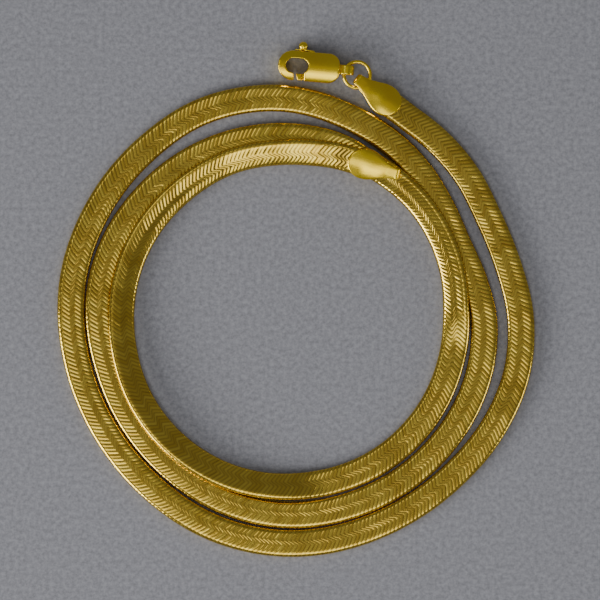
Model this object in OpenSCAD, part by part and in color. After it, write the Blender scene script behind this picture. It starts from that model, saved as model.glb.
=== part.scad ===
/* [Band] */
// Width of the flat woven band
band_width = 3.65; // [3.5:0.05:3.65]
// Thickness of the band
band_thickness = 1.1; // [0.9:0.05:1.1]
// Turn of the coil between two cross sections, in degrees
ring_step = 4; // [3:0.5:8]

/* [End caps] */
// Radius of the round lobe that sleeves the end of the band
cap_radius = 2.05; // [2.03:0.01:2.1]
// Length from the middle of the lobe to the end of the tab
cap_reach = 5.05; // [4.9:0.05:5.2]
// Thickness of the lobe at its crown
cap_height = 1.7; // [1.65:0.05:1.75]
// Thickness of the tab that carries the loop
tab_height = 1.2; // [1.1:0.05:1.25]
// Depth of band inside the cap, past the middle of the lobe
band_in_cap = 0.5; // [0.3:0.1:0.6]
// Clearance round the band inside the cap
cap_gap = 0.08; // [0.06:0.01:0.09]
// Half height of the cross slot that holds the jump ring
loop_radius = 0.4; // [0.36:0.01:0.42]

/* [Jump ring] */
// Radius of the middle of the wire
ring_radius = 1.75; // [1.7:0.01:1.8]
// Diameter of the wire
ring_wire = 0.48; // [0.4:0.02:0.5]

/* [Clasp] */
// Width of the clasp across the hook and the body
clasp_width = 4.0; // [3.9:0.05:4.1]
// Length of the hook and body without the tail eye
clasp_length = 8.3; // [8.2:0.05:8.4]
// Thickness of the clasp at its crown
clasp_height = 2.4; // [2.3:0.05:2.5]
// Radius of the thumb knob
knob_radius = 0.62; // [0.5:0.02:0.65]
// Radius of the pivot pin
pin_radius = 0.35; // [0.3:0.01:0.4]
// Clearance between the pin and the bore of the lever
pin_gap = 0.03; // [0.02:0.01:0.05]
// Thickness of the lever where it runs in the body
lever_height = 0.7; // [0.6:0.05:0.7]
// Clearance on each side of the lever
lever_gap = 0.05; // [0.03:0.01:0.08]

/* [Hidden] */

// Place of the coil's centre, measured from the middle of the whole outline
coil_centre = [-0.4, -2.73];

// The band lies in three turns from its outer end to its inner end.
// Angles run clockwise seen from above and count on past a full turn.
// Columns: angle, radius of the middle of the band
ROUTE = [
    [292, 31.80], [294, 31.53], [296, 31.30], [298, 31.10], [301, 30.90],
    [310, 30.60], [320, 30.15], [332, 29.45], [345, 29.55], [360, 30.35], [374, 30.65], [390, 30.25],
    [405, 29.75], [425, 29.60], [450, 29.80], [470, 29.66], [490, 29.20],
    [508, 29.05], [528, 29.28], [550, 29.80], [570, 29.90], [590, 30.05],
    [605, 30.30], [618, 30.00], [630, 29.40], [645, 28.10], [660, 26.90],
    [672, 25.80], [682, 24.90], [695, 24.20], [708, 24.70], [722, 25.50],
    [740, 25.85], [765, 25.85], [790, 25.90], [812, 26.00], [830, 25.80],
    [848, 25.45], [865, 25.33], [885, 25.45], [905, 26.00], [920, 26.00],
    [940, 25.60], [960, 25.20], [980, 24.70], [998, 24.20], [1006, 23.90],
    [1014, 23.42], [1022, 23.28], [1036, 23.12], [1050, 22.78], [1064, 22.38],
    [1076, 21.97], [1090, 21.78], [1110, 21.87], [1140, 22.05], [1160, 22.14],
    [1176, 22.46], [1190, 22.70], [1210, 22.95], [1230, 23.10], [1250, 23.05],
    [1270, 23.10], [1290, 23.05], [1310, 22.90], [1328, 22.88], [1344, 22.62],
    [1356, 22.58], [1364, 22.72], [1368, 22.79], [1370, 22.83], [1372, 22.89],
    [1374, 22.98], [1375.5, 23.06]
];

// Columns: angle, lift of the inner edge, lift of the outer edge.
// The inner turns lean on the edge of the turn outside them.
LIFT = [
    [292, 0.60, 0.30], [296, 0.51, 0.21], [299, 0.44, 0.14], [304, 0.26, 0.02],
    [312, 0.05, 0.00], [322, 0.00, 0.00], [998, 0.00, 0.00], [1005, 0.00, 0.20],
    [1014, 0.00, 1.00], [1022, 0.05, 1.30], [1036, 0.25, 1.72], [1050, 0.40, 1.84],
    [1064, 0.30, 1.76], [1076, 0.10, 1.40], [1090, 0.00, 0.00], [1155, 0.00, 0.00],
    [1175, 0.05, 1.30], [1190, 0.15, 1.45], [1210, 0.25, 1.55], [1230, 0.30, 1.60],
    [1250, 0.25, 1.50], [1270, 0.10, 1.40], [1290, 0.05, 1.45], [1310, 0.05, 1.56],
    [1328, 0.05, 1.65], [1344, 0.20, 1.75], [1356, 0.65, 1.75], [1364, 1.10, 1.85],
    [1368.5, 1.35, 2.20], [1370, 1.41, 2.26], [1375.5, 1.63, 2.48]
];

// Outline of a cross section as parts of the half width and half thickness.
// Columns: across, up
SECTION = [
    [-1.00, -0.40], [-0.82, -1.00], [0.82, -1.00], [1.00, -0.40], [1.00, 0.30],
    [0.88, 0.76], [0.50, 1.00], [-0.50, 1.00], [-0.88, 0.76], [-1.00, 0.30]
];

// Half width of a cap from the middle of its lobe towards the tab.
// Columns: distance along the cap, part of the lobe's radius
CAP_FLANK = [
    [0.0, 1.00], [0.7, 0.985], [1.3, 0.91], [2.0, 0.76], [2.7, 0.615],
    [3.4, 0.50], [4.2, 0.41], [5.0, 0.36]
];

turn_start = ROUTE[0][0];
turn_end = ROUTE[len(ROUTE) - 1][0];
turn_nudge = 0.05;

cap_end_round = 0.28;
cap_rise = 0.15;
cap_crown_radius = 5;
cap_base_radius = 12;
cap_facets = 14;
cap_shoulder = 0.2;
cap_slope = 3.6;
cap_under_slope = 1.1;
slot_near = 3.3;
slot_far = 4.1;
slope_to = slot_near - cap_shoulder;
overlap = 0.01;
cut = 1;

clasp_place = [-2.4, 31.37];
clasp_turn = -5;
clasp_half = clasp_width / 2;
clasp_middle = clasp_height / 2;
clasp_crown_radius = 3.2;
tail_corner = 1.6;

hook_hole_radius = 0.97;
hook_hole_from = 2.04;
hook_hole_to = 3.07;
hook_gap = [[2.08, -0.6], [2.33, -2.2], [3.6, -2.2], [3.6, -0.6]];

eye_place = 9.13;
eye_radius = 1.07;
eye_hole_radius = 0.62;
eye_width = 1.3;

pivot = [5.33, -0.93];
hub_radius = 0.7;
slot_outline = [[3.85, 2.2], [6.67, 2.2], [6.67, -1.76], [3.4, -1.76], [3.4, 0], [3.85, 0]];
gate_arm = [[3.2, -1.04], [3.2, -1.9], [3.5, -1.9], [3.6, -1.68], [5.33, -1.63], [5.33, -0.5]];
gate_tip = [[2.42, -1.04], [3.25, -1.04], [3.25, -1.93], [2.75, -1.93]];
gate_height = 1.3;
knob_arm = [[4.75, -0.6], [5.9, -0.6], [4.75, 2.1], [4.05, 2.1]];
thumb_plate = [[2.04, 2.05], [4.75, 2.05], [4.75, 2.12], [4.4, 2.22], [2.12, 2.22]];
knob_place = [3.16, 2.66];

ring_from_clasp = [10.62, -0.52];
ring_lift = 1.16;
ring_tilt = 4;
ring_heading = 160;

$fn = 64;

// Smooth curve through column c of table t at the place a
function row_of(t, a) = min(len(t) - 2, max([for (i = [0 : len(t) - 1]) t[i][0] <= a ? i : 0]));
function slope(t, c, i) =
    let (low = max(i - 1, 0), high = min(i + 1, len(t) - 1))
    (t[high][c] - t[low][c]) / (t[high][0] - t[low][0]);
function hermite(u, y0, y1, m0, m1) =
    (2 * u ^ 3 - 3 * u ^ 2 + 1) * y0 + (u ^ 3 - 2 * u ^ 2 + u) * m0
    + (3 * u ^ 2 - 2 * u ^ 3) * y1 + (u ^ 3 - u ^ 2) * m1;
function curve(t, c, a) =
    let (i = row_of(t, a), h = t[i + 1][0] - t[i][0], u = (a - t[i][0]) / h)
    hermite(u, t[i][c], t[i + 1][c], slope(t, c, i) * h, slope(t, c, i + 1) * h);

// Middle of the band at an angle, its direction of travel and its lean
function radius(a) = curve(ROUTE, 1, a);
function lift(c, a) = max(0, curve(LIFT, c, a));
function on_coil(a) = coil_centre + radius(a) * [cos(a), -sin(a)];
function before(a) = max(turn_start, a - turn_nudge);
function after(a) = min(turn_end, a + turn_nudge);
function unit(v) = v / norm(v);
function travel(a) = unit(on_coil(after(a)) - on_coil(before(a)));
function heading(a) = atan2(travel(a)[1], travel(a)[0]);
function lean(a) = asin((lift(2, a) - lift(1, a)) / band_width);
function base_lift(a) = (lift(1, a) + lift(2, a)) / 2;
function climb(a) =
    atan2(base_lift(after(a)) - base_lift(before(a)), norm(on_coil(after(a)) - on_coil(before(a))));

// Axes across the band and square to its face
function across(a) = [-travel(a)[1] * cos(lean(a)), travel(a)[0] * cos(lean(a)), sin(lean(a))];
function face_up(a) = [travel(a)[1] * sin(lean(a)), -travel(a)[0] * sin(lean(a)), cos(lean(a))];
function core(a) =
    [on_coil(a)[0], on_coil(a)[1], base_lift(a)] + face_up(a) * band_thickness / 2;
function cross_section(a) =
    let (half = [band_width / 2, band_thickness / 2])
    [for (p = SECTION) core(a) + across(a) * p[0] * half[0] + face_up(a) * p[1] * half[1]];

// The band as one solid, two triangles to each patch between cross sections
module chain() {
    turns = ceil((turn_end - turn_start) / ring_step);
    sides = len(SECTION);
    points = [
        for (i = [0 : turns]) each cross_section(turn_start + (turn_end - turn_start) * i / turns)
    ];
    patches = [
        for (i = [0 : turns - 1], j = [0 : sides - 1])
        let (k = (j + 1) % sides, a = i * sides, b = a + sides)
        each [[a + j, b + j, a + k], [a + k, b + j, b + k]]
    ];
    ends = [
        [for (j = [0 : sides - 1]) j],
        [for (j = [sides - 1 : -1 : 0]) turns * sides + j]
    ];
    color("goldenrod") polyhedron(points = points, faces = concat(patches, ends), convexity = 10);
}

// Points along an arc, ends included
function arc(centre, r, from, to, steps) =
    [for (i = [0 : steps]) let (a = from + (to - from) * i / steps) centre + r * [cos(a), sin(a)]];

// Pear-shaped outline of an end cap, the lobe at the origin and the tab along +x
module cap_outline() {
    flank_end = cap_reach - cap_end_round;
    places = [for (i = [1 : cap_facets]) i / cap_facets * flank_end];
    flank = [for (x = places) [x, curve(CAP_FLANK, 1, x) * cap_radius]];
    corner = [flank_end, flank[cap_facets - 1][1] - cap_end_round];
    polygon(concat(
        arc([0, 0], cap_radius, 270, 90, 2 * cap_facets),
        flank,
        arc(corner, cap_end_round, 75, 0, 5),
        arc([corner[0], -corner[1]], cap_end_round, 0, -75, 5),
        [for (i = [cap_facets - 1 : -1 : 0]) [flank[i][0], -flank[i][1]]]
    ));
}

// Long round-ended hole across the tab, seen from its side
module cross_slot() {
    rotate([90, 0, 0]) linear_extrude(2 * cap_radius + cut, center = true) {
        for (x = [slot_near, slot_far]) translate([x, 0]) circle(loop_radius);
        translate([slot_near, -loop_radius]) square([slot_far - slot_near, 2 * loop_radius]);
    }
}

// Side view of a cap: a full lobe that thins to the round end of the tab
module cap_side() {
    above = cap_height / 2 + 2 * cap_rise;
    rotate([90, 0, 0]) linear_extrude(2 * cap_radius + cut, center = true) polygon(concat(
        [[-cap_radius - cut, -cap_height / 2], [-cap_radius - cut, above]],
        [[slope_to - cap_under_slope, above], [slope_to + cap_shoulder, tab_height / 2]],
        arc([cap_reach - tab_height / 2, 0], tab_height / 2, 90, -90, cap_facets),
        [[slope_to, -tab_height / 2], [slope_to - cap_under_slope, -cap_height / 2]]
    ));
}

// Barrel along x that rounds the top of a cap and falls in a soft curve to the tab
module cap_barrel() {
    top = cap_height / 2 + cap_rise;
    fall = top - tab_height / 2 - 2 * overlap;
    soft_slope = [
        for (i = [0 : cap_facets])
        let (u = i / cap_facets)
        [cap_crown_radius - fall * (1 - cos(180 * u)) / 2, slope_to - cap_slope * (1 - u)]
    ];
    translate([0, 0, top - cap_crown_radius]) rotate([0, 90, 0]) rotate_extrude($fn = 180) polygon(concat(
        [[0, -cap_radius - cut], [cap_crown_radius, -cap_radius - cut]],
        soft_slope,
        [[cap_crown_radius - fall, cap_reach + cut], [0, cap_reach + cut]]
    ));
}

module end_cap() {
    pocket_half = [band_width / 2 + cap_gap, band_thickness / 2 + cap_gap];
    pocket_depth = cap_radius + cut + band_in_cap + 2 * cap_gap;
    difference() {
        intersection() {
            translate([0, 0, -cap_height / 2]) linear_extrude(cap_height + 2 * cap_rise) cap_outline();
            cap_side();
            cap_barrel();
            mirror([0, 0, 1]) crown(cap_height / 2, cap_base_radius);
        }
        translate([-cap_radius - cut, 0, 0]) rotate([90, 0, 90]) linear_extrude(pocket_depth)
            polygon([for (p = SECTION) [p[0] * pocket_half[0], p[1] * pocket_half[1]]]);
        cross_slot();
    }
}

// Bar along x that rounds what is inside it across the width, up to a top
module crown(top, round_radius) {
    translate([0, 0, top - round_radius]) rotate([0, 90, 0])
        cylinder(r = round_radius, h = 8 * cap_radius, center = true, $fn = 360);
}

// Turn of the coil from the band's end at an angle to the middle of its cap's lobe
function lobe_turn(a) = asin(band_in_cap / radius(a));

// Sets a cap over the band at an angle; ahead is 1 where the tab points along the travel
module on_band(a, ahead) {
    c = core(a);
    translate(c) rotate([0, 0, heading(a) + (ahead > 0 ? 0 : 180)])
        rotate([0, -ahead * climb(a), 0]) rotate([ahead * lean(a), 0, 0]) children();
}

module outer_end_cap() {
    color("gold") on_band(turn_start + lobe_turn(turn_start), -1) end_cap();
}

module inner_end_cap() {
    color("gold") on_band(turn_end - lobe_turn(turn_end), 1) end_cap();
}

// Frame of the clasp: hook end at the origin, tail along +x, knob side +y
module on_clasp() {
    translate([clasp_place[0], clasp_place[1], clasp_middle]) rotate([0, 0, clasp_turn]) children();
}

module jump_ring() {
    color("gold") on_clasp() translate([ring_from_clasp[0], ring_from_clasp[1], ring_lift - clasp_middle])
        rotate([0, 0, ring_heading]) rotate([0, -ring_tilt, 0])
            rotate_extrude() translate([ring_radius, 0]) circle(ring_wire / 2, $fn = 32);
}

// Plan of the hook and body: a round nose, straight sides and a rounded tail
module clasp_outline() {
    tail = clasp_length - tail_corner;
    translate([clasp_half, 0]) circle(clasp_half);
    translate([clasp_half, -clasp_half]) square([tail - clasp_half, clasp_width]);
    translate([tail - overlap, -clasp_half + tail_corner])
        square([tail_corner + overlap, clasp_width - 2 * tail_corner]);
    for (s = [-1, 1]) translate([tail, s * (clasp_half - tail_corner)]) circle(tail_corner);
}

module hook_hole() {
    for (x = [hook_hole_from, hook_hole_to]) translate([x, 0]) circle(hook_hole_radius);
    translate([hook_hole_from, -hook_hole_radius])
        square([hook_hole_to - hook_hole_from, 2 * hook_hole_radius]);
}

module clasp_body() {
    slot_height = lever_height + 2 * lever_gap;
    color("gold") on_clasp() {
        difference() {
            union() {
                intersection() {
                    linear_extrude(clasp_height, center = true) difference() {
                        clasp_outline();
                        hook_hole();
                        polygon(hook_gap);
                    }
                    crown(clasp_middle, clasp_crown_radius);
                    mirror([0, 0, 1]) crown(clasp_middle, clasp_crown_radius);
                }
                translate([eye_place, 0, 0]) rotate([90, 0, 0])
                    cylinder(r = eye_radius, h = eye_width, center = true);
            }
            linear_extrude(slot_height, center = true) polygon(slot_outline);
            translate([eye_place, 0, 0]) rotate([90, 0, 0])
                cylinder(r = eye_hole_radius, h = clasp_width, center = true);
        }
        translate([pivot[0], pivot[1], 0])
            cylinder(r = pin_radius, h = slot_height + 2 * overlap, center = true);
    }
}

module clasp_lever() {
    color("gold") on_clasp() difference() {
        union() {
            linear_extrude(lever_height, center = true) {
                translate(pivot) circle(hub_radius);
                polygon(gate_arm);
                polygon(knob_arm);
                polygon(thumb_plate);
            }
            linear_extrude(gate_height, center = true) polygon(gate_tip);
            translate([knob_place[0], knob_place[1], 0]) sphere(knob_radius);
        }
        translate([pivot[0], pivot[1], 0])
            cylinder(r = pin_radius + pin_gap, h = clasp_height, center = true);
    }
}

chain();
outer_end_cap();
inner_end_cap();
jump_ring();
clasp_body();
clasp_lever();
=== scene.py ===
import math

import bpy
import numpy as np
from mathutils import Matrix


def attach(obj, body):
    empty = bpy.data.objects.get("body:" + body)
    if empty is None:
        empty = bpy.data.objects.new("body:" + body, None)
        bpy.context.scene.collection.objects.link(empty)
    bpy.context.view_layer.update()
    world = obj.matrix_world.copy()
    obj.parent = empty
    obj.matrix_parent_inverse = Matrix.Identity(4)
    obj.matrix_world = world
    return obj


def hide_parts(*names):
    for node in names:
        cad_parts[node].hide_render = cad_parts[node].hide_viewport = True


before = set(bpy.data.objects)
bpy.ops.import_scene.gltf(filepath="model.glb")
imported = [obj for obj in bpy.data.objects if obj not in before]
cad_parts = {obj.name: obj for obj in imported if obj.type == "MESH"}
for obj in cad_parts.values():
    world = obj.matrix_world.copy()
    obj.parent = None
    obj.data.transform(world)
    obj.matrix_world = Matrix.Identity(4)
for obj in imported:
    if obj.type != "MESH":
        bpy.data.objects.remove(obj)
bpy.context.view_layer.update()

# The band, in metres and degrees
BAND_WIDTH = 0.00365
BAND_THICKNESS = 0.0011
LINK_PITCH = 0.000565
LINK_SEED = 7

# Angles run clockwise seen from above. Columns: angle, radius of the middle of the band
COIL_CENTRE = (-0.0004, -0.00273)
ROUTE = [
    (292, 0.03180), (294, 0.03153), (296, 0.03130), (298, 0.03110), (301, 0.03090),
    (310, 0.03060), (320, 0.03015), (332, 0.02945), (345, 0.02955), (360, 0.03035),
    (374, 0.03065), (390, 0.03025), (405, 0.02975), (425, 0.02960), (450, 0.02980),
    (470, 0.02966), (490, 0.02920), (508, 0.02905), (528, 0.02928), (550, 0.02980),
    (570, 0.02990), (590, 0.03005), (605, 0.03030), (618, 0.03000), (630, 0.02940),
    (645, 0.02810), (660, 0.02690), (672, 0.02580), (682, 0.02490), (695, 0.02420),
    (708, 0.02470), (722, 0.02550), (740, 0.02585), (765, 0.02585), (790, 0.02590),
    (812, 0.02600), (830, 0.02580), (848, 0.02545), (865, 0.02533), (885, 0.02545),
    (905, 0.02600), (920, 0.02600), (940, 0.02560), (960, 0.02520), (980, 0.02470),
    (998, 0.02420), (1006, 0.02390), (1014, 0.02342), (1022, 0.02328), (1036, 0.02312),
    (1050, 0.02278), (1064, 0.02238), (1076, 0.02197), (1090, 0.02178), (1110, 0.02187),
    (1140, 0.02205), (1160, 0.02214), (1176, 0.02246), (1190, 0.02270), (1210, 0.02295),
    (1230, 0.02310), (1250, 0.02305), (1270, 0.02310), (1290, 0.02305), (1310, 0.02290),
    (1328, 0.02288), (1344, 0.02262), (1356, 0.02258), (1364, 0.02272), (1368, 0.02279),
    (1370, 0.02283), (1372, 0.02289), (1374, 0.02298), (1375.5, 0.02306),
]

# Columns: angle, lift of the inner edge, lift of the outer edge
LIFT = [
    (292, 0.0006, 0.0003), (296, 0.00051, 0.00021), (299, 0.00044, 0.00014),
    (304, 0.00026, 0.00002), (312, 0.00005, 0), (322, 0, 0), (998, 0, 0), (1005, 0, 0.0002),
    (1014, 0, 0.001), (1022, 0.00005, 0.0013), (1036, 0.00025, 0.00172), (1050, 0.0004, 0.00184),
    (1064, 0.0003, 0.00176), (1076, 0.0001, 0.0014), (1090, 0, 0), (1155, 0, 0),
    (1175, 0.00005, 0.0013), (1190, 0.00015, 0.00145), (1210, 0.00025, 0.00155),
    (1230, 0.0003, 0.0016), (1250, 0.00025, 0.0015), (1270, 0.0001, 0.0014),
    (1290, 0.00005, 0.00145), (1310, 0.00005, 0.00156), (1328, 0.00005, 0.00165),
    (1344, 0.0002, 0.00175), (1356, 0.00065, 0.00175), (1364, 0.0011, 0.00185),
    (1368.5, 0.00135, 0.0022), (1370, 0.00141, 0.00226), (1375.5, 0.00163, 0.00248),
]

# Half outline of the band's section, from the middle of its top to the middle of its underside.
# Columns: part of the half width, part of the half thickness
SECTION = [
    (0.0, 1.0), (0.08, 1.0), (0.16, 1.0), (0.24, 0.995), (0.32, 0.99), (0.45, 0.985), (0.6, 0.97),
    (0.7, 0.94), (0.78, 0.89), (0.86, 0.74), (0.94, 0.555), (0.985, 0.3), (1.0, -0.05),
    (0.97, -0.45), (0.9, -0.75), (0.78, -0.93), (0.6, -1.0), (0.3, -1.0), (0.0, -1.0),
]

# A link bends to and fro as it crosses the band.
# Columns: place across the band from the inner edge at -1 to the outer at 1, shift along it
LINK_WAVE = [(-1.0, -0.00045), (-0.24, 0.0005), (0.08, -0.00062), (1.0, 0.0005)]
WAVE_SOFTNESS = 0.04

# Section of a link's wire. Columns: part of the pitch along the band, depth below the surface
LINK_WIRE = [
    (-0.5, 0.000036), (-0.2, 0.000007), (0.0, 0.0),
    (0.2, 0.000007), (0.5, 0.000036), (0.0, 0.00025),
]
SHARP_WIRE_POINTS = (0, 4)

# The flatter strip along the middle of the band, where the links turn back and where painted shade
# darkens the links.
# Columns: place across the band, how much it is in the strip
FLAT_STRIP = [(-0.34, 0), (-0.22, 1), (0.06, 1), (0.18, 0)]

# Links lie a little unevenly: a random tilt in degrees, two slow swings of it, and a random depth
TILT_SPREAD = 1.6
TILT_SWING = 1.5
TILT_SWING_RATES = (900, 377)
DEPTH_SPREAD = 0.000012

# The strip inside the links, coloured dark as painted shade, as parts of the band's width and
# thickness
CORE_HALF_WIDTH = 0.46
CORE_HALF_THICKNESS = 0.3
CORE_STEP = 0.0006

# Turns of the coil, each a piece of its own. Columns: name, first angle, last angle
TURNS = [("turn_outer", 292, 651), ("turn_middle", 651, 1010), ("turn_inner", 1010, 1375.5)]

# Cast and polished pieces. Columns: name, how much their edges are rounded
FITTINGS = [
    ("outer_end_cap", 30), ("inner_end_cap", 30), ("jump_ring", 2),
    ("clasp_body", 30), ("clasp_lever", 8),
]
FITTING_VOXEL = 0.00006

# Soft boxes round the chain, in degrees, metres and watts. Azimuth 0 is +X and 90 is +Y.
# Columns: name, azimuth, elevation, distance, width, height, power
LIGHTS = [
    ("overhead_box", 270, 80, 1.15, 1.0, 0.8, 0.32),
    ("key_box", 246, 65, 0.8, 0.34, 0.30, 0.5),
    ("left_box", 208, 25, 0.8, 0.56, 0.14, 1.8),
    ("low_left_strip", 208, 14, 0.8, 0.60, 0.16, 5.0),
    ("rear_box", 142, 62, 0.8, 0.24, 0.26, 0.22),
    ("front_box", 276, 49, 0.8, 0.46, 0.34, 1.1),
    ("right_strip", 338, 14, 0.8, 0.30, 0.22, 0.9),
]
WORLD_COLOUR = (0.93, 0.95, 1.0, 1)
WORLD_STRENGTH = 0.18

FLOOR_HALF_SIZE = 0.6
FLOOR_DROP = 0.00001

# The camera stands so that one millimetre is 7.5 pixels, as in the photograph
CAMERA_PLACE = (0.00053, -0.00007)
CAMERA_DISTANCE = 0.9
CAMERA_AIM_HEIGHT = 0.0005
CAMERA_FIELD = 0.08
CAMERA_SENSOR = 36.0


def smooth_curve(table, column, places):
    """The same smooth curve through a table as in the source of the band."""
    t = np.array(table, float)
    x, y = t[:, 0], t[:, column]
    slope = np.empty(len(x))
    slope[1:-1] = (y[2:] - y[:-2]) / (x[2:] - x[:-2])
    slope[0] = (y[1] - y[0]) / (x[1] - x[0])
    slope[-1] = (y[-1] - y[-2]) / (x[-1] - x[-2])
    i = np.clip(np.searchsorted(x, places, side="right") - 1, 0, len(x) - 2)
    h = x[i + 1] - x[i]
    u = (places - x[i]) / h
    return (
        (2 * u**3 - 3 * u**2 + 1) * y[i]
        + (u**3 - 2 * u**2 + u) * slope[i] * h
        + (3 * u**2 - 2 * u**3) * y[i + 1]
        + (u**3 - u**2) * slope[i + 1] * h
    )


def band_path(step=0.1):
    """Rows along the band: angle, arc length, middle, axis along, across and up."""
    first, last = ROUTE[0][0], ROUTE[-1][0]
    angles = np.linspace(first, last, int((last - first) / step) + 1)
    radius = smooth_curve(ROUTE, 1, angles)
    inner = np.maximum(0, smooth_curve(LIFT, 1, angles))
    outer = np.maximum(0, smooth_curve(LIFT, 2, angles))
    turn = np.radians(angles)
    x = COIL_CENTRE[0] + radius * np.cos(turn)
    y = COIL_CENTRE[1] - radius * np.sin(turn)
    along = np.stack([np.gradient(x), np.gradient(y)], 1)
    along /= np.linalg.norm(along, axis=1)[:, None]
    lean = np.arcsin((outer - inner) / BAND_WIDTH)
    across = np.stack([-along[:, 1] * np.cos(lean), along[:, 0] * np.cos(lean), np.sin(lean)], 1)
    up = np.stack([along[:, 1] * np.sin(lean), -along[:, 0] * np.sin(lean), np.cos(lean)], 1)
    middle = np.stack([x, y, (inner + outer) / 2], 1) + up * BAND_THICKNESS / 2
    travelled = np.concatenate([[0], np.cumsum(np.linalg.norm(np.diff(middle, axis=0), axis=1))])
    return {"angle": angles, "travelled": travelled, "middle": middle, "across": across, "up": up}


def at(path, name, places):
    """Rows of the path's column at these arc lengths."""
    values = path[name]
    columns = [np.interp(places, path["travelled"], values[:, i]) for i in range(3)]
    return np.stack(columns, -1)


def section_outline():
    """Points round the band's section: across, up and the outward normal of each."""
    half = np.array(SECTION) * (BAND_WIDTH / 2, BAND_THICKNESS / 2)
    points = np.concatenate([half, half[-2:0:-1] * (-1, 1)])
    side = np.roll(points, -1, axis=0) - np.roll(points, 1, axis=0)
    side /= np.linalg.norm(side, axis=1)[:, None]
    return np.concatenate([points, np.stack([-side[:, 1], side[:, 0]], 1)], 1)


def link_wave(across):
    """How far a link is shifted along the band where it crosses it, with rounded bends."""
    wave = np.array(LINK_WAVE)
    soft = WAVE_SOFTNESS
    offsets = [-2 * soft, -soft, 0.0, soft, 2 * soft]
    shifts = [np.interp(np.clip(across + o, -1, 1), wave[:, 0], wave[:, 1]) for o in offsets]
    return np.mean(shifts, axis=0)


def new_object(name, points, faces, material_index, materials, attributes, smooth, crease):
    """A mesh object; edges between two points marked in crease stay sharp."""
    mesh = bpy.data.meshes.new(name)
    mesh.from_pydata(points.tolist(), [], faces.tolist())
    for material in materials:
        mesh.materials.append(material)
    mesh.polygons.foreach_set("material_index", material_index)
    mesh.polygons.foreach_set("use_smooth", smooth)
    mesh.update(calc_edges=True)
    ends = np.empty(len(mesh.edges) * 2, np.int64)
    mesh.edges.foreach_get("vertices", ends)
    sharp = crease[ends.reshape(-1, 2)].all(axis=1)
    mesh.attributes.new("sharp_edge", "BOOLEAN", "EDGE").data.foreach_set("value", sharp)
    for key, values in attributes.items():
        attribute = mesh.attributes.new(key, "FLOAT", "POINT")
        attribute.data.foreach_set("value", values.astype(np.float32))
    mesh.update()
    made = bpy.data.objects.new(name, mesh)
    bpy.context.scene.collection.objects.link(made)
    return made


def link_rings(path, places, rng):
    """Points of all the links of a turn: link, station round the band, point of the wire."""
    outline = section_outline()
    wire = np.array(LINK_WIRE)
    n, m, k = len(places), len(outline), len(wire)
    across = outline[:, 0] / (BAND_WIDTH / 2)
    wave = link_wave(across)
    fast, slow = TILT_SWING_RATES
    swing = TILT_SWING * np.sin(places * fast) + TILT_SWING * np.sin(places * slow)
    tilt = np.radians(rng.normal(0, TILT_SPREAD, n) + swing)
    s = places[:, None, None] + wave[None, :, None] + wire[None, None, :, 0] * LINK_PITCH
    s = np.clip(s, 0, path["travelled"][-1])
    centre = np.interp(across, *np.array(FLAT_STRIP).T)
    shallow = np.clip(1 - 1.4 * np.abs(outline[:, 2]), 0.15, 1) * (1 - 0.6 * centre)
    tipped = np.tan(tilt)[:, None, None] * wire[None, None, :, 0] * LINK_PITCH
    depth = np.maximum((wire[None, None, :, 1] + tipped) * shallow[None, :, None], 0)
    depth = depth + rng.uniform(0, DEPTH_SPREAD, n)[:, None, None]
    out = outline[None, :, None, 0] - depth * outline[None, :, None, 2]
    high = outline[None, :, None, 1] - depth * outline[None, :, None, 3]
    points = (
        at(path, "middle", s)
        + at(path, "across", s) * out[..., None]
        + at(path, "up", s) * high[..., None]
    )
    tone = np.broadcast_to(rng.uniform(0, 1, n)[:, None, None], (n, m, k))
    # Painted shade: links are coloured darker down the sides of each wire and along the middle strip
    # of the band
    painted_shade = np.clip(wire[:, 1] / wire[0, 1], 0, 1)[None, None, :] + 0.3 * centre[None, :, None]
    painted_shade = np.broadcast_to(np.clip(painted_shade, 0, 1), (n, m, k))
    return points, tone, painted_shade


def ring_faces(n, m, k):
    """Quads of n closed loops with m stations of k points each."""
    link, station, side = np.meshgrid(np.arange(n), np.arange(m), np.arange(k), indexing="ij")
    after, beside = (station + 1) % m, (side + 1) % k
    base = link * m * k
    a, b = base + station * k + side, base + after * k + side
    c, d = base + after * k + beside, base + station * k + beside
    return np.stack([a, b, c, d], -1).reshape(-1, 4)


def core_strip(path, start, end):
    """A thin strip inside the links, coloured dark as painted shade, so that nothing but that shade
    shows through between them.
    """
    places = np.arange(start, end, CORE_STEP)
    half, thick = BAND_WIDTH * CORE_HALF_WIDTH, BAND_THICKNESS * CORE_HALF_THICKNESS
    corners = np.array([(-half, -thick), (half, -thick), (half, thick), (-half, thick)])
    points = (
        at(path, "middle", places)[:, None, :]
        + at(path, "across", places)[:, None, :] * corners[None, :, 0, None]
        + at(path, "up", places)[:, None, :] * corners[None, :, 1, None]
    )
    n = len(places)
    row, side = np.meshgrid(np.arange(n - 1), np.arange(4), indexing="ij")
    beside = (side + 1) % 4
    here, ahead = row * 4, row * 4 + 4
    faces = np.stack([here + side, here + beside, ahead + beside, ahead + side], -1)
    caps = np.array([[0, 3, 2, 1], [n * 4 - 4, n * 4 - 3, n * 4 - 2, n * 4 - 1]])
    return points.reshape(-1, 3), np.concatenate([faces.reshape(-1, 4), caps])


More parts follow.
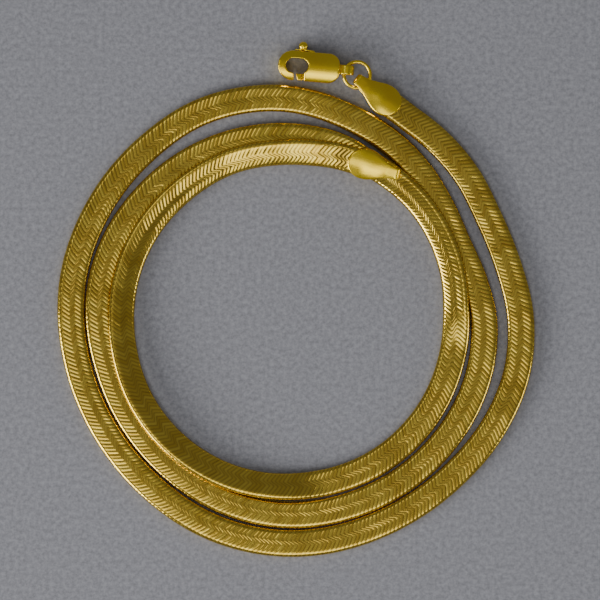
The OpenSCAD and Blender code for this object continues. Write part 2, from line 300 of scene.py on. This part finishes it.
def woven_turn(path, name, first, last, materials, rng):
    """One turn of the coil: its links and the strip inside them, joined in one mesh."""
    start, end = np.interp([first, last], path["angle"], path["travelled"])
    count = int(round((end - start) / LINK_PITCH))
    places = start + (np.arange(count) + 0.5) * (end - start) / count
    points, tone, painted_shade = link_rings(path, places, rng)
    n, m, k = points.shape[:3]
    faces = ring_faces(n, m, k)
    strip, strip_faces = core_strip(path, start, end)
    total = n * m * k
    return new_object(
        name,
        np.concatenate([points.reshape(-1, 3), strip]),
        np.concatenate([faces, strip_faces + total]),
        np.concatenate([np.zeros(len(faces), int), np.ones(len(strip_faces), int)]),
        materials,
        {
            "tone": np.concatenate([tone.ravel(), np.full(len(strip), 0.5)]),
            "painted_shade": np.concatenate([painted_shade.ravel(), np.ones(len(strip))]),
        },
        np.concatenate([np.ones(len(faces), bool), np.zeros(len(strip_faces), bool)]),
        np.concatenate([np.isin(np.arange(total) % k, SHARP_WIRE_POINTS), np.zeros(len(strip), bool)]),
    )


def new_material(name):
    material = bpy.data.materials.new(name)
    material.use_nodes = True
    nodes, links = material.node_tree.nodes, material.node_tree.links
    return material, nodes, links, nodes["Principled BSDF"]


def add(nodes, kind, **inputs):
    node = nodes.new(kind)
    for key, value in inputs.items():
        node.inputs[key.replace("_", " ")].default_value = value
    return node


def ramp(nodes, stops):
    node = nodes.new("ShaderNodeValToRGB")
    elements = node.color_ramp.elements
    elements[0].position, elements[0].color = stops[0]
    elements[1].position, elements[1].color = stops[-1]
    for position, color in stops[1:-1]:
        elements.new(position).color = color
    return node


def woven_gold():
    """Polished gold links, each a little lighter or darker at random, with painted shade down the
    sides of each wire and along the middle of the band.
    """
    material, nodes, links, shader = new_material("woven_gold")
    place = nodes.new("ShaderNodeTexCoord")
    tone = nodes.new("ShaderNodeAttribute")
    tone.attribute_name = "tone"
    painted_shade = nodes.new("ShaderNodeAttribute")
    painted_shade.attribute_name = "painted_shade"
    gold = ramp(nodes, [
        (0.0, (0.70, 0.46, 0.05, 1)), (0.5, (0.81, 0.565, 0.07, 1)), (1.0, (0.92, 0.67, 0.09, 1)),
    ])
    links.new(tone.outputs["Fac"], gold.inputs["Fac"])
    # Painted shade: the gold is mixed towards brown down the wire sides and along the band's middle
    shade_mix = add(nodes, "ShaderNodeMix")
    shade_mix.data_type = "RGBA"
    shade_mix.inputs[7].default_value = (0.40, 0.24, 0.045, 1)
    links.new(gold.outputs["Color"], shade_mix.inputs[6])
    depth = nodes.new("ShaderNodeMath")
    depth.operation = "MULTIPLY"
    depth.inputs[1].default_value = 0.6
    links.new(painted_shade.outputs["Fac"], depth.inputs[0])
    links.new(depth.outputs[0], shade_mix.inputs[0])
    links.new(shade_mix.outputs[2], shader.inputs["Base Color"])
    smudge = add(nodes, "ShaderNodeTexNoise", Scale=420.0, Detail=3.0)
    links.new(place.outputs["Object"], smudge.inputs["Vector"])
    rough = nodes.new("ShaderNodeMapRange")
    rough.inputs["To Min"].default_value = 0.13
    rough.inputs["To Max"].default_value = 0.23
    links.new(smudge.outputs["Fac"], rough.inputs["Value"])
    links.new(rough.outputs["Result"], shader.inputs["Roughness"])
    grain = add(nodes, "ShaderNodeTexNoise", Scale=9000.0, Detail=2.0)
    links.new(place.outputs["Object"], grain.inputs["Vector"])
    bump = add(nodes, "ShaderNodeBump", Strength=0.25, Distance=0.00001)
    links.new(grain.outputs["Fac"], bump.inputs["Height"])
    links.new(bump.outputs["Normal"], shader.inputs["Normal"])
    shader.inputs["Metallic"].default_value = 1.0
    return material


def core_shade_gold():
    """Painted shade: near-black metal for the strip seen between the links."""
    material, nodes, links, shader = new_material("core_shade_gold")
    place = nodes.new("ShaderNodeTexCoord")
    speck = add(nodes, "ShaderNodeTexNoise", Scale=3000.0, Detail=2.0)
    links.new(place.outputs["Object"], speck.inputs["Vector"])
    # Painted shade: a near-black gold colour stands in for the shade between the links
    colour = ramp(nodes, [(0.3, (0.05, 0.028, 0.004, 1)), (0.7, (0.13, 0.075, 0.01, 1))])
    links.new(speck.outputs["Fac"], colour.inputs["Fac"])
    links.new(colour.outputs["Color"], shader.inputs["Base Color"])
    shader.inputs["Metallic"].default_value = 1.0
    shader.inputs["Roughness"].default_value = 0.55
    return material


def polished_gold():
    """Smooth cast gold with faint hairlines and a soft change of tone."""
    material, nodes, links, shader = new_material("polished_gold")
    place = nodes.new("ShaderNodeTexCoord")
    cloud = add(nodes, "ShaderNodeTexNoise", Scale=300.0, Detail=3.0)
    links.new(place.outputs["Object"], cloud.inputs["Vector"])
    colour = ramp(nodes, [(0.3, (0.97, 0.65, 0.035, 1)), (0.7, (1.0, 0.735, 0.05, 1))])
    links.new(cloud.outputs["Fac"], colour.inputs["Fac"])
    links.new(colour.outputs["Color"], shader.inputs["Base Color"])
    stretch = nodes.new("ShaderNodeMapping")
    stretch.inputs["Rotation"].default_value = (0, 0, 0.6)
    stretch.inputs["Scale"].default_value = (400, 9000, 3000)
    links.new(place.outputs["Object"], stretch.inputs["Vector"])
    hair = add(nodes, "ShaderNodeTexNoise", Scale=1.0, Detail=3.0)
    links.new(stretch.outputs["Vector"], hair.inputs["Vector"])
    rough = nodes.new("ShaderNodeMapRange")
    rough.inputs["To Min"].default_value = 0.21
    rough.inputs["To Max"].default_value = 0.28
    links.new(hair.outputs["Fac"], rough.inputs["Value"])
    links.new(rough.outputs["Result"], shader.inputs["Roughness"])
    bump = add(nodes, "ShaderNodeBump", Strength=0.12, Distance=0.000004)
    links.new(hair.outputs["Fac"], bump.inputs["Height"])
    links.new(bump.outputs["Normal"], shader.inputs["Normal"])
    shader.inputs["Metallic"].default_value = 1.0
    return material


def floor_material():
    """Pale mottled grey, matt."""
    material, nodes, links, shader = new_material("floor_card")
    place = nodes.new("ShaderNodeTexCoord")
    mottle = add(nodes, "ShaderNodeTexNoise", Scale=1700.0, Detail=5.0, Roughness=0.75)
    links.new(place.outputs["Object"], mottle.inputs["Vector"])
    colour = ramp(nodes, [(0.35, (0.235, 0.235, 0.255, 1)), (0.65, (0.385, 0.385, 0.415, 1))])
    links.new(mottle.outputs["Fac"], colour.inputs["Fac"])
    links.new(colour.outputs["Color"], shader.inputs["Base Color"])
    shader.inputs["Roughness"].default_value = 0.9
    return material


def finish_cad_node(node, material, rounds):
    """A CAD piece gets its finish, with its edges rounded as if cast and polished."""
    mesh = node.data
    mesh.materials.clear()
    mesh.materials.append(material)
    remesh = node.modifiers.new("even_mesh", "REMESH")
    remesh.mode = "VOXEL"
    remesh.voxel_size = FITTING_VOXEL
    remesh.use_smooth_shade = True
    polish = node.modifiers.new("polish", "SMOOTH")
    polish.factor = 0.5
    polish.iterations = rounds


def add_floor():
    half, z = FLOOR_HALF_SIZE, -FLOOR_DROP
    corners = [(-half, -half, z), (half, -half, z), (half, half, z), (-half, half, z)]
    mesh = bpy.data.meshes.new("floor")
    mesh.from_pydata(corners, [], [(0, 1, 2, 3)])
    mesh.materials.append(floor_material())
    floor = bpy.data.objects.new("floor", mesh)
    bpy.context.scene.collection.objects.link(floor)


def add_light(name, azimuth, elevation, distance, width, height, power):
    """A soft box in that direction from the object, facing it."""
    a, e = math.radians(azimuth), math.radians(elevation)
    data = bpy.data.lights.new(name, "AREA")
    data.shape = "RECTANGLE"
    data.size, data.size_y = width, height
    data.energy = power
    light = bpy.data.objects.new(name, data)
    direction = np.array([math.cos(a) * math.cos(e), math.sin(a) * math.cos(e), math.sin(e)])
    light.location = (direction * distance).tolist()
    light.rotation_euler = (math.pi / 2 - e, 0, a + math.pi / 2)
    bpy.context.scene.collection.objects.link(light)


def add_world():
    world = bpy.data.worlds.new("studio")
    world.use_nodes = True
    background = world.node_tree.nodes["Background"]
    background.inputs["Color"].default_value = WORLD_COLOUR
    background.inputs["Strength"].default_value = WORLD_STRENGTH
    bpy.context.scene.world = world


def add_camera():
    """Straight down, at the photograph's scale."""
    data = bpy.data.cameras.new("camera")
    data.sensor_width = CAMERA_SENSOR
    data.lens = CAMERA_SENSOR * CAMERA_DISTANCE / CAMERA_FIELD
    data.clip_start, data.clip_end = 0.01, 10
    camera = bpy.data.objects.new("camera", data)
    camera.location = (*CAMERA_PLACE, CAMERA_DISTANCE + CAMERA_AIM_HEIGHT)
    bpy.context.scene.collection.objects.link(camera)
    bpy.context.scene.camera = camera


def build_chain():
    path = band_path()
    rng = np.random.RandomState(LINK_SEED)
    materials = [woven_gold(), core_shade_gold()]
    for name, first, last in TURNS:
        turn = woven_turn(path, name, first, last, materials, rng)
        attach(turn, "necklace")
        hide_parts("chain")


def finish_fittings():
    polished = polished_gold()
    for name, rounds in FITTINGS:
        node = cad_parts[name]
        finish_cad_node(node, polished, rounds)


build_chain()
finish_fittings()
add_floor()
add_world()
for light in LIGHTS:
    add_light(*light)
add_camera()
